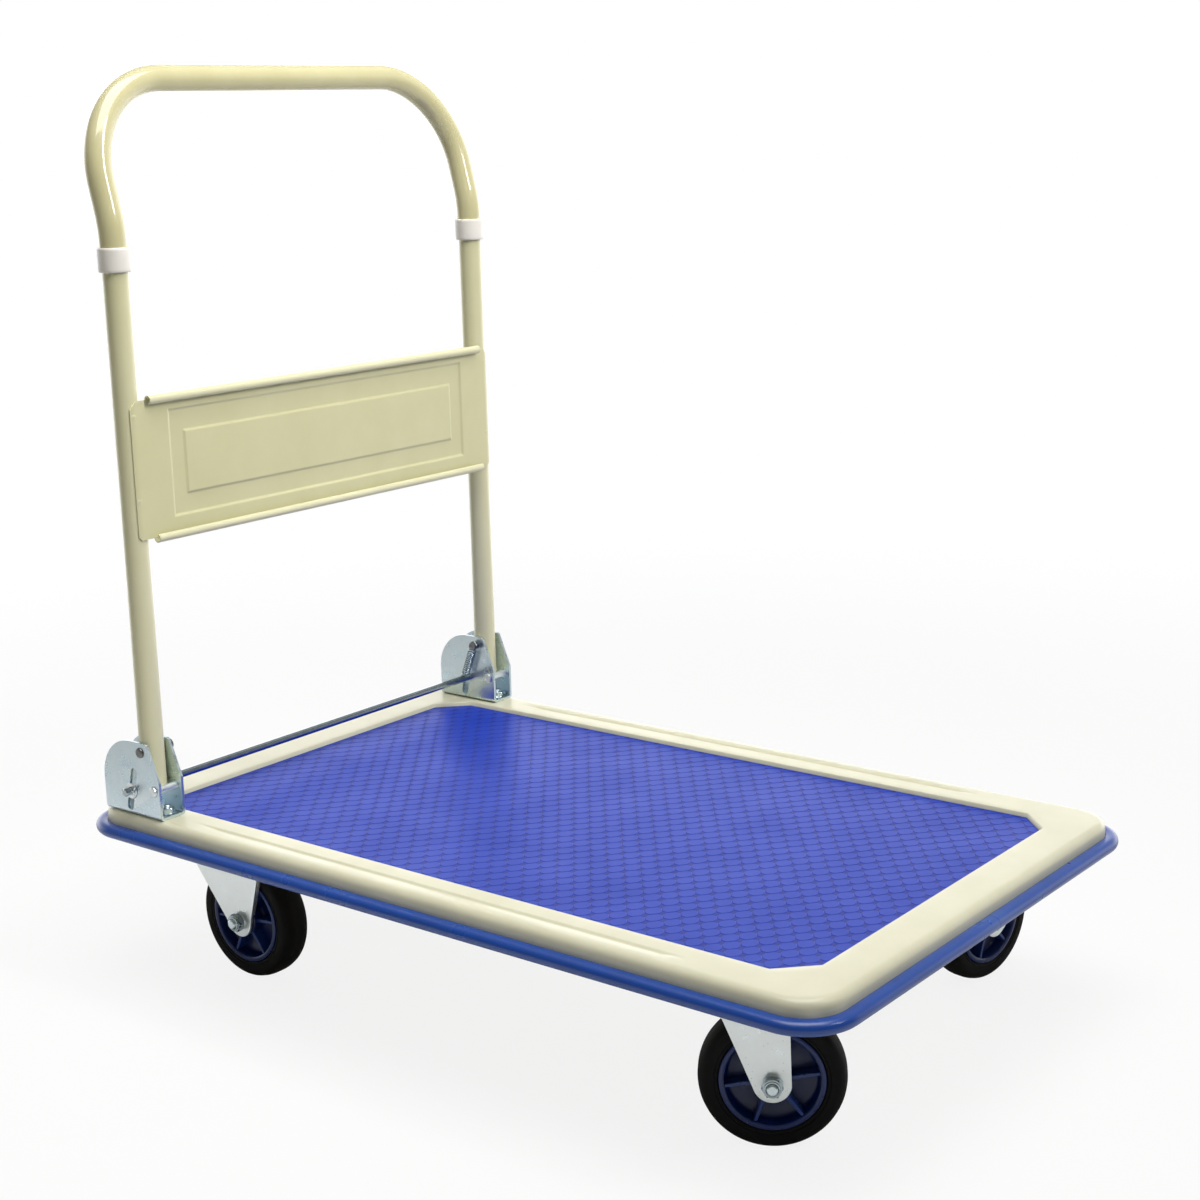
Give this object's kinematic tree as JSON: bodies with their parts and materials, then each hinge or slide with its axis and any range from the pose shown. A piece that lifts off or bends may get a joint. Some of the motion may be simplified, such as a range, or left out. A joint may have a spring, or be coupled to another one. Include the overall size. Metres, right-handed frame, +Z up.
{
  "type": "platform trolley",
  "caption": "Folding platform trolley: flat pressed steel deck with a diamond-embossed mat and bumper, fold-down tube handle, swivel casters in front and fixed casters under the handle.",
  "frame": {"origin": "on the floor under the middle of the deck", "axes": "+Z up, +X towards the swivel casters, away from the handle, +Y to the left"},
  "size_m": [0.928, 0.6017, 0.9454],
  "materials": {
    "cream_paint": "glossy powder coat",
    "cream_sleeve": "glossy PVC sleeve",
    "mat_vinyl": "satin vinyl with a raised anti-slip pattern",
    "bumper_pvc": "satin PVC",
    "collar_plastic": "satin",
    "zinc_plate": "bright zinc plate with a faint blue passivation",
    "plain_steel": "plain turned steel",
    "wheel_rubber": "matt",
    "rim_plastic": "satin polypropylene"
  },
  "bodies": {
    "deck": {"deck_panel": "cream_paint", "deck_mat": "mat_vinyl", "edge_bumper": "bumper_pvc", "front_cross_channel": "cream_paint", "rear_cross_channel": "cream_paint", "left_stiffener": "cream_paint", "right_stiffener": "cream_paint", "left_handle_bracket": "zinc_plate", "left_pivot_pin": "plain_steel", "left_stop_pin": "plain_steel", "left_bracket_bolt": "zinc_plate", "left_bracket_nut": "zinc_plate", "left_lock_spring": "zinc_plate", "rear_left_fork": "zinc_plate", "rear_left_axle_bolt": "zinc_plate", "rear_left_axle_nut": "zinc_plate", "rear_left_axle_bush": "plain_steel", "front_left_top_plate": "zinc_plate", "front_left_kingpin": "plain_steel", "right_handle_bracket": "zinc_plate", "right_pivot_pin": "plain_steel", "right_stop_pin": "plain_steel", "right_bracket_bolt": "zinc_plate", "right_bracket_nut": "zinc_plate", "right_lock_spring": "zinc_plate", "rear_right_fork": "zinc_plate", "rear_right_axle_bolt": "zinc_plate", "rear_right_axle_nut": "zinc_plate", "rear_right_axle_bush": "plain_steel", "front_right_top_plate": "zinc_plate", "front_right_kingpin": "plain_steel"},
    "handle": {"handle_tube": "cream_paint", "grip_sleeve": "cream_sleeve", "handle_panel": "cream_paint", "left_collar": "collar_plastic", "right_collar": "collar_plastic"},
    "lock": {"lock_bar": "zinc_plate", "left_lock_washer": "zinc_plate", "right_lock_washer": "zinc_plate", "left_split_pin": "zinc_plate", "right_split_pin": "zinc_plate"},
    "front_left_swivel": {"front_left_fork": "zinc_plate", "front_left_bearing_race": "zinc_plate", "front_left_axle_bolt": "zinc_plate", "front_left_axle_nut": "zinc_plate", "front_left_axle_bush": "plain_steel"},
    "front_left_wheel": {"front_left_rim": "rim_plastic", "front_left_tyre": "wheel_rubber"},
    "rear_left_wheel": {"rear_left_rim": "rim_plastic", "rear_left_tyre": "wheel_rubber"},
    "front_right_swivel": {"front_right_fork": "zinc_plate", "front_right_bearing_race": "zinc_plate", "front_right_axle_bolt": "zinc_plate", "front_right_axle_nut": "zinc_plate", "front_right_axle_bush": "plain_steel"},
    "front_right_wheel": {"front_right_rim": "rim_plastic", "front_right_tyre": "wheel_rubber"},
    "rear_right_wheel": {"rear_right_rim": "rim_plastic", "rear_right_tyre": "wheel_rubber"}
  },
  "joints": [
    {"name": "handle_fold", "type": "hinge", "parent": "deck", "child": "handle", "pos_m": [-0.3695, 0, 0.259], "axis": [0, 1, 0], "range_deg": [0, 96]},
    {"name": "lock_press", "type": "slide", "parent": "deck", "child": "lock", "axis": [-0.2419, 0, -0.9703], "range_m": [0, 0.017], "stiffness_N_per_m": 900, "springref_m": -0.012, "deforming": ["left_lock_spring", "right_lock_spring"]},
    {"name": "front_left_swivel_turn", "type": "hinge", "parent": "deck", "child": "front_left_swivel", "pos_m": [0.312, 0.205, 0.15], "axis": [0, 0, 1], "continuous": true},
    {"name": "front_left_wheel_spin", "type": "hinge", "parent": "front_left_swivel", "child": "front_left_wheel", "pos_m": [0.31763, 0.24056, 0.0655], "axis": [-0.9877, 0.1564, 0], "continuous": true},
    {"name": "rear_left_wheel_spin", "type": "hinge", "parent": "deck", "child": "rear_left_wheel", "pos_m": [-0.312, 0.187, 0.0655], "axis": [0, 1, 0], "continuous": true},
    {"name": "front_right_swivel_turn", "type": "hinge", "parent": "deck", "child": "front_right_swivel", "pos_m": [0.312, -0.205, 0.15], "axis": [0, 0, 1], "continuous": true},
    {"name": "front_right_wheel_spin", "type": "hinge", "parent": "front_right_swivel", "child": "front_right_wheel", "pos_m": [0.34219, -0.18539, 0.0655], "axis": [-0.5446, 0.8387, 0], "continuous": true},
    {"name": "rear_right_wheel_spin", "type": "hinge", "parent": "deck", "child": "rear_right_wheel", "pos_m": [-0.312, -0.187, 0.0655], "axis": [0, 1, 0], "continuous": true}
  ]
}
